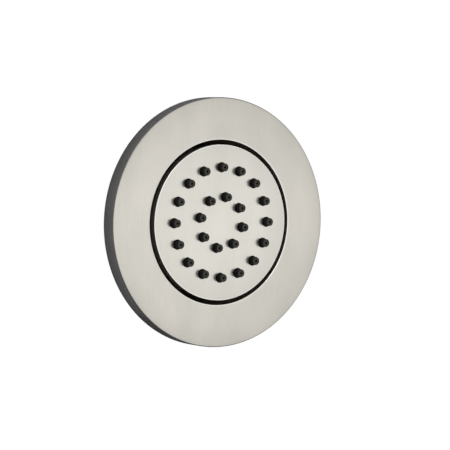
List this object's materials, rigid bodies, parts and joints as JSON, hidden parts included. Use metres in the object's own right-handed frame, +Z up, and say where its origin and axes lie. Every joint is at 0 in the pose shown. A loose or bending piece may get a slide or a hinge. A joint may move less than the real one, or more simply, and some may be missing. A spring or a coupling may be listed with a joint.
{
  "type": "shower body jet",
  "caption": "Round wall-mounted shower body jet: a brushed cover plate around a swivelling spray disc with soft black nozzles, fed by a pipe thread at the back.",
  "frame": {"origin": "centre of the wall face, on the axis of the cover plate", "axes": "+Y into the wall, so the water leaves towards -Y; +Z up; +X to the right as seen from the front"},
  "size_m": [0.124, 0.0652, 0.124],
  "materials": {
    "brushed_nickel": "vertical brushed nickel",
    "black_silicone": "satin",
    "black_rubber": "matte",
    "foam_rubber": "matte foam",
    "black_plastic": "matte moulded",
    "grey_plastic": "matte moulded",
    "brass": "turned",
    "chromed_brass": "polished",
    "white_ptfe": "matte",
    "blue_acetal": "moulded",
    "stainless_steel": "plain"
  },
  "bodies": {
    "wall_set": {"cover_plate": "brushed_nickel", "cover_grip_ring": "black_rubber", "recess_cup": "grey_plastic", "wall_gasket": "foam_rubber", "inlet_nipple": "brass", "nipple_washer": "black_rubber", "lock_washer": "stainless_steel", "lock_nut": "brass", "flow_limiter": "blue_acetal", "limiter_ring": "black_rubber", "filter_screen": "stainless_steel", "swivel_ball": "chromed_brass", "ball_seal": "black_rubber"},
    "rear_liner": {"friction_ring": "white_ptfe"},
    "front_seat": {"ball_seat": "white_ptfe", "seat_seal": "black_rubber"},
    "spray_head": {"spray_plate": "brushed_nickel", "nozzle_mat": "black_silicone", "chamber_back": "black_plastic", "socket_nut": "brass", "head_screws": "stainless_steel"}
  },
  "joints": [
    {"name": "tilt_up_down", "type": "hinge", "parent": "wall_set", "child": "rear_liner", "pos_m": [0, 0.00284, 0], "axis": [1, 0, 0], "range_deg": [-10, 10]},
    {"name": "tilt_left_right", "type": "hinge", "parent": "rear_liner", "child": "front_seat", "pos_m": [0, 0.00284, 0], "axis": [0, 0, 1], "range_deg": [-10, 10]},
    {"name": "head_turn", "type": "hinge", "parent": "front_seat", "child": "spray_head", "pos_m": [0, 0.00284, 0], "axis": [0, -1, 0], "continuous": true}
  ]
}
